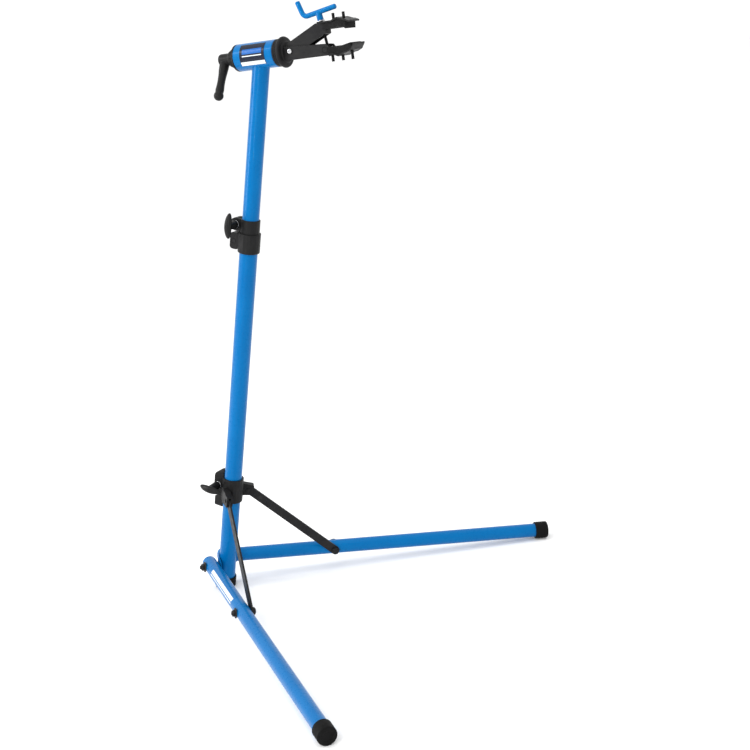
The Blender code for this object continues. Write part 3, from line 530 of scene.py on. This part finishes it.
def make_leg(side, name):
    at = leg_frame(side)
    body = f"leg_{name}"
    bm = tube(LEG_R, LEG_BORE_R, -LEG_TAIL, LEG_LENGTH - 0.006)
    piece(f"{name}_leg_tube", bm, at, ENAMEL, body, stands_for=[f"leg_tube_{name}"])
    tail = -LEG_TAIL - GAP
    dome = [(LEG_R * math.sin(a), tail - 0.0085 * math.cos(a)) for a in
            (0.06, 0.2, 0.35, 0.5, 0.65, 0.8, 0.95, 1.1, 1.25, 1.38, 1.48, math.pi / 2)]
    plug_r = LEG_BORE_R - GAP
    plug = [(0, tail - 0.0085)] + dome + [(plug_r, tail), (plug_r, -0.0080), (0, -0.0080)]
    piece(f"{name}_leg_plug", lathe(plug), at, ENAMEL, body, stands_for=[f"leg_plug_{name}"])
    end = [(r, z) for z, r in arc((LEG_LENGTH - CAP_ROUND, CAP_R - CAP_ROUND), CAP_ROUND, 0, 90, 8)]
    low = LEG_LENGTH - CAP_LENGTH
    cap = [(0, LEG_LENGTH - 0.0008), (0.0095, LEG_LENGTH - 0.0008), (0.0102, LEG_LENGTH)] + end
    cap += [(CAP_R, low + 0.0040), (CAP_R - 0.0005, low + 0.0035), (CAP_R, low + 0.0030),
            (CAP_R, low + 0.0010), (CAP_R - 0.0010, low), (LEG_R + GAP, low),
            (LEG_R + GAP, LEG_LENGTH - 0.0047), (0, LEG_LENGTH - 0.0047)]
    piece(f"{name}_leg_cap", lathe(cap), at, CAP_RUBBER, body, 0.0003, [f"leg_cap_{name}"])
    out = turned_by(-side * math.pi / 2, "X")
    face = LEG_OFFSET + LEG_R + GAP
    pivot = leg_plane(side) @ shifted(LEG_PIVOT_REACH, 0, LEG_PIVOT_HEIGHT) @ out
    piece(f"{name}_pivot_nut", flange_nut(face, 0.0120, 0.0067, 0.0082), pivot, STEEL, "base", 0.0002,
          [f"pivot_nut_{name}"])
    bolt = at @ shifted(0, -side * LEG_OFFSET, STRUT_BOLT_REACH) @ out
    shank = lathe([(0, STRUT_OUTER + GAP), (0.0040, STRUT_OUTER + GAP), (0.0040, face), (0, face)], 48)
    nut = together(shank, flange_nut(face, 0.0110, 0.0067, 0.0070))
    piece(f"{name}_strut_bolt", nut, bolt, STEEL, body, 0.0002, [f"strut_bolt_{name}"])


def make_leg_stripes():
    """Plain stripes of film along the outside of the right-hand leg."""
    at = leg_frame(-1)
    up = (at.inverted().to_3x3() @ Vector((0, 0, 1))).normalized()
    outward = Vector((0, -1, 0))
    middle = (outward * 0.80 + up * 0.60).normalized()
    centre = math.degrees(math.atan2(middle.y, middle.x))
    towards_up = 1 if (up - middle * up.dot(middle)).dot(Vector((-middle.y, middle.x, 0))) > 0 else -1
    film_r = LEG_R + 0.00003

    def stripe(name, low_side, high_side, start, end):
        edges = sorted((centre + towards_up * low_side, centre + towards_up * high_side))
        piece(name, patch(film_r, 0.00012, *edges, start, end, 24), at, FILM_WHITE, "leg_right")

    stripe("leg_stripe_broad", -10, 20, 0.046, 0.200)
    stripe("leg_stripe_slim", -28, -19, 0.046, 0.200)


def make_knob(name, clamp, sizes, body, upright):
    ear, reach = sizes
    u, s = clamp
    at = MAST @ shifted(u, 0, s) @ TO_RIGHT
    hub = [(0, ear + 0.0030), (0.0085, ear + 0.0030), (0.0093, ear + 0.0060), (0.0078, reach - 0.006),
           (0.0072, reach + 0.001), (0, reach + 0.001)]
    half_length = KNOB_HALF_LENGTH - 0.0002
    half = (0.0083, half_length, 0.0062) if upright else (half_length, 0.0083, 0.0062)
    wing = moved(ellipsoid(half), shifted(z=reach))
    for vert in wing.verts:
        along = vert.co.y if upright else vert.co.x
        vert.co.z -= 0.0040 * (along / KNOB_HALF_LENGTH) ** 2  # the wings sweep back a little
    shape = fused(together(lathe(hub, 64), wing), 0.0006, 8)
    piece(f"{name}_wing_knob", shape, at, KNOB_NYLON, body, stands_for=[f"{name}_knob"])
    dimple = [(0, reach + 0.0066), (0.0034, reach + 0.0066), (0.0040, reach + 0.0062),
              (0.0040, reach + 0.0040), (0, reach + 0.0040)]
    piece(f"{name}_knob_plug", lathe(dimple, 48), at, NYLON, body, 0.0003)
    stud_body = "base" if name == "height" else "collar"
    stud = threaded(0.0030, -ear - 0.0075, ear + 0.0115, 0.0010, 0.00035)
    piece(f"{name}_clamp_stud", stud, at, ZINC, stud_body, stands_for=[f"{name}_stud"])
    washer = tube(0.0080, 0.0033, ear + GAP, ear + 0.0018, 0.0003, 64)
    piece(f"{name}_clamp_washer", washer, at, ZINC, stud_body, stands_for=[f"{name}_washer"])


def make_barrel():
    at = HEAD @ ALONG_X
    shell = tube(BARREL_R, BARREL_BORE_R, BARREL_BACK, BARREL_FRONT, 0.0008, 128)
    piece("clamp_barrel", shell, at, ENAMEL, "mast", stands_for=["head_barrel"])
    bore, spigot = SHAFT_R + GAP, BARREL_BORE_R - GAP
    front = BARREL_FRONT + GAP
    end = front + BUSH_LENGTH
    outline = [(bore, front - 0.018), (spigot, front - 0.018), (spigot, front), (BARREL_R - 0.0006, front),
               (BARREL_R, front + 0.0006), (BARREL_R, front + 0.0034), (BARREL_R - 0.0008, front + 0.0040),
               (BARREL_R - 0.0008, front + 0.0046), (BARREL_R, front + 0.0052), (BARREL_R, end - 0.0016),
               (BARREL_R - 0.0005, end - 0.0005), (BARREL_R - 0.0016, end), (bore, end)]
    piece("front_barrel_bush", lathe(outline, 128), at, NYLON, "mast", stands_for=["front_bush"])
    back = BARREL_BACK - GAP
    outline = [(bore, back - 0.005), (BARREL_R - 0.0016, back - 0.005), (BARREL_R - 0.0004, back - 0.0044),
               (BARREL_R, back - 0.0034), (BARREL_R, back), (spigot, back), (spigot, back + 0.014),
               (bore, back + 0.014)]
    piece("rear_barrel_bush", lathe(outline, 128), at, NYLON, "mast", stands_for=["rear_bush"])
    start = FLANGE_FACE - 0.012
    rim = arc((start + 0.0045, FLANGE_R - 0.0045), 0.0045, 180, 0, 16)
    shoulder, tail = BARREL_BACK - 0.0053, BARREL_BACK - 0.0250
    spindle = [(0, tail), (0.0055, tail), (0.0060, tail + 0.0005), (0.0060, shoulder), (SHAFT_R, shoulder),
               (SHAFT_R, start)]
    spindle += [(r, z) for z, r in rim]
    spindle += [(0.0236, start + 0.0090), (0.0214, start + 0.0096), (0.0200, start + 0.0112),
                (0.0190, start + 0.012), (0, start + 0.012)]
    piece("head_spindle", lathe(spindle, 128), at, NYLON, "head", stands_for=["head_spindle"])
    washer = tube(0.0140, 0.0063, back - 0.0053 - 0.0015, back - 0.0053, 0.0003, 96)
    piece("lock_washer", washer, at, ZINC, "head", stands_for=["lock_washer"])


def make_label():
    """A plain label: a dark field with two bands, and a pale strip under them."""
    at = HEAD @ ALONG_X
    low, high = LABEL_SPAN
    base_r = BARREL_R + GAP

    def band(name, top, bottom, start, end, material):
        """Film on the right-hand side, between two angles in degrees down from that side."""
        piece(name, patch(base_r, 0.00046, -90 + top, -90 + bottom, start, end), at, material, "mast")

    # about this axis -90 degrees is the right-hand side, and the angle grows downwards
    shape = patch(base_r, 0.00040, -90 - 58, -90 + 38, low, high, 64)
    piece("label_field", shape, at, FILM_BLACK, "mast", stands_for=["label_plate"])
    band("label_strip", 20.0, 37.2, low + 0.0008, high - 0.0008, FILM_WHITE)
    band("label_band_broad", -32, -11, low + 0.0060, high - 0.0060, FILM_BLUE)
    band("label_band_fine", -5, -1, low + 0.0060, high - 0.0060, FILM_WHITE)


def make_lock_lever():
    at = HEAD @ turned_by(LEVER_ANGLE, "X")
    back = BARREL_BACK - 0.0076
    hub = [(0, back - 0.0185), (0.0150, back - 0.0140), (0.0170, back - 0.0100), (0.0170, back - 0.0020),
           (0.0158, back), (0, back)]
    boss = [(0, back - 0.0400), (0.0095, back - 0.0400), (0.0115, back - 0.0385), (0.0122, back - 0.0360),
            (0.0122, back - 0.0120), (0, back - 0.0120)]
    centre = back - 0.0285
    handle = [(0, -0.004), (0.0094, -0.004), (0.0098, -0.014), (0.0093, -0.024), (0.0082, -0.035),
              (0.0077, -0.046), (0.0079, -0.056), (0.0087, -0.065)]
    handle += arc((0, -LEVER_LENGTH), 0.0099, 35, -85, 14) + [(0, -LEVER_LENGTH - 0.0099)]
    grip = moved(lathe(handle, 64), shifted(x=centre))
    shells = together(moved(lathe(hub, 96), ALONG_X), moved(lathe(boss, 96), ALONG_X), grip)
    piece("lock_lever", fused(shells, 0.0007, 6), at, KNOB_NYLON, "lock_lever", stands_for=["lock_lever"])
    ribs = 16
    for i in range(ribs):
        angle = math.tau * i / ribs
        rib = moved(ellipsoid((0.0048, 0.0011, 0.0011), 16, 8), shifted(x=back - 0.006, z=0.0169))
        piece(f"lock_lever_rib_{i}", moved(rib, turned_by(angle, "X")), at, KNOB_NYLON, "lock_lever")


def make_handle():
    shaft = threaded(SCREW_R, -0.0125, SEAT + 0.0110, 0.0012, 0.0004)
    piece("jaw_clamp_screw", shaft, SCREW, STEEL, "handle", stands_for=["jaw_screw"])
    low = SEAT + 0.0018
    stem = [(0, low), (0.0058, low), (0.0062, low + 0.0006), (0.0064, low + 0.0016),
            (0.0060, HANDLE_HEIGHT - 0.004), (0.0050, HANDLE_HEIGHT), (0, HANDLE_HEIGHT)]
    bend = [Vector((-0.0250 - 0.0110 * math.sin(a), 0, 0.0110 - 0.0110 * math.cos(a)))
            for a in (0.2, 0.4, 0.6, 0.8, 1.0, 1.2, 1.35)]
    points = [Vector((0.0400, 0, 0)), Vector((0.0394, 0, 0)), Vector((0.0384, 0, 0)), Vector((0.0100, 0, 0)),
              Vector((-0.0250, 0, 0))] + bend
    points += [Vector((-0.0398, 0, 0.0300)), Vector((-0.0401, 0, 0.0311)), Vector((-0.0402, 0, 0.0318))]
    radii = [0.0030, 0.0043] + [HANDLE_R] * (len(points) - 4) + [0.0043, 0.0030]
    bar = moved(swept(points, radii), shifted(z=HANDLE_HEIGHT))
    shape = fused(together(lathe(stem, 64), bar), 0.0006, 5)
    piece("jaw_tee_handle", shape, SCREW, ENAMEL, "handle", stands_for=["jaw_handle"])
    washer = tube(0.0085, SCREW_R + GAP, SEAT, SEAT + 0.0015, 0.0003, 72)
    piece("jaw_thrust_washer", washer, SCREW, ZINC, "washer", stands_for=["thrust_washer"])


def make_jaw_bolt():
    """The cap screw the jaws turn on, with a socket in its head."""
    at = HEAD @ shifted(*JAW_PIVOT) @ TO_RIGHT
    under = ARM_HALF + GAP
    outline = [(0, -0.0205), (0.0026, -0.0205), (0.0030, -0.0201), (0.0030, under), (0.0046, under),
               (0.0048, under + 0.0003), (0.0046, under + 0.0018), (0.0040, under + 0.0026),
               (0.0030, under + 0.0028), (0.0027, under + 0.0025), (0.0027, under + 0.0006),
               (0, under + 0.0006)]
    piece("jaw_pivot_bolt", lathe(outline, 48), at, ZINC, "head", stands_for=["jaw_pivot_bolt"])


def finish_cad_nodes():
    """The bent, cut and bolted CAD pieces keep their shape, with rounded edges and real finishes."""
    kept = {
        "height_collar": (NYLON, 0.0007), "sliding_collar": (NYLON, 0.0007), "tube_bush": (NYLON, 0.0003),
        "leg_bracket": (ENAMEL, 0.0004), "lower_jaw": (STEEL, 0.0006), "upper_jaw": (STEEL, 0.0006),
        "lower_pad": (PAD_RUBBER, 0.0008), "upper_pad": (PAD_RUBBER, 0.0008), "strut_left": (STEEL, 0.0006),
        "strut_right": (STEEL, 0.0006), "strut_nut_left": (STEEL, 0.0003), "strut_nut_right": (STEEL, 0.0003),
        "strut_pin_left": (STEEL, 0.0002), "strut_pin_right": (STEEL, 0.0002),
        "pivot_bolt_left": (STEEL, 0.0002), "pivot_bolt_right": (STEEL, 0.0002), "jaw_pivot_nut": (ZINC, 0.0002),
        "trunnion_nut": (STEEL, 0.0003), "collar_screw": (STEEL, 0.0002), "collar_screw_nut": (STEEL, 0.0002),
        "height_nut": (ZINC, 0.0002), "collar_nut": (ZINC, 0.0002),
    }
    for name, (material, edge) in kept.items():
        obj = nodes[name]
        for slot in obj.material_slots:
            slot.material = material
        round_edges(obj, edge)


make_mast()
make_foot()
for side, name in ((1, "left"), (-1, "right")):
    make_leg(side, name)
make_leg_stripes()
make_knob("height", HEIGHT_CLAMP, HEIGHT_KNOB, "height_knob", True)
make_knob("collar", COLLAR_CLAMP, COLLAR_KNOB, "collar_knob", False)
make_barrel()
make_label()
make_lock_lever()
make_handle()
make_jaw_bolt()
finish_cad_nodes()


# ---- floor, light and camera ----
def make_floor():
    bpy.ops.mesh.primitive_plane_add(size=60.0, location=(0.4, 0.0, 0.0))
    floor = bpy.context.object
    floor.name = "floor"
    m = Nodes("pale floor", (0.95, 0.95, 0.95), 0.80)
    m.colour(m.noise(3.0, 3.0), [(0.3, (0.945, 0.945, 0.948)), (0.7, (0.955, 0.955, 0.958))])
    m.shader.inputs["Specular IOR Level"].default_value = 0.2
    floor.data.materials.append(m.material)


def area_light(name, place, target, size, power):
    data = bpy.data.lights.new(name, "AREA")
    data.shape = "RECTANGLE"
    data.size, data.size_y = size
    data.energy = power
    light = bpy.data.objects.new(name, data)
    light.location = place
    light.rotation_euler = (Vector(target) - Vector(place)).to_track_quat("-Z", "Y").to_euler()
    bpy.context.collection.objects.link(light)


def make_lights():
    world = bpy.data.worlds.new("studio")
    world.use_nodes = True
    back = world.node_tree.nodes["Background"]
    back.inputs["Color"].default_value = (1.0, 1.0, 1.0, 1.0)
    back.inputs["Strength"].default_value = 1.09
    bpy.context.scene.world = world
    area_light("left bank", (-1.9, -1.6, 1.7), (0.1, 0.0, 0.7), (0.8, 2.6), 50.0)
    area_light("strip", (0.42, -2.57, 1.5), (0.1, 0.0, 0.7), (0.11, 2.6), 24.0)
    area_light("overhead bank", (0.4, -0.4, 3.2), (0.3, 0.0, 0.3), (2.6, 2.6), 14.0)


def make_camera():
    """From the right-hand front, a little above the clamp, and rolled slightly."""
    yaw, pitch, roll = math.radians(30.2382), math.radians(15.2886), math.radians(4.1994)
    back = Vector((math.sin(yaw) * math.cos(pitch), -math.cos(yaw) * math.cos(pitch), math.sin(pitch)))
    level = Vector((math.cos(yaw), math.sin(yaw), 0.0))
    upward = back.cross(level)
    right = level * math.cos(roll) - upward * math.sin(roll)
    up = upward * math.cos(roll) + level * math.sin(roll)
    data = bpy.data.cameras.new("camera")
    data.sensor_width = 36.0
    data.lens = 64.388
    camera = bpy.data.objects.new("camera", data)
    columns = Matrix((right, up, back)).transposed().to_4x4()
    camera.matrix_world = Matrix.Translation((1.7461, -2.2543, 1.2414)) @ columns
    bpy.context.collection.objects.link(camera)
    bpy.context.scene.camera = camera


bpy.context.scene.view_settings.view_transform = "Standard"
make_floor()
make_lights()
make_camera()
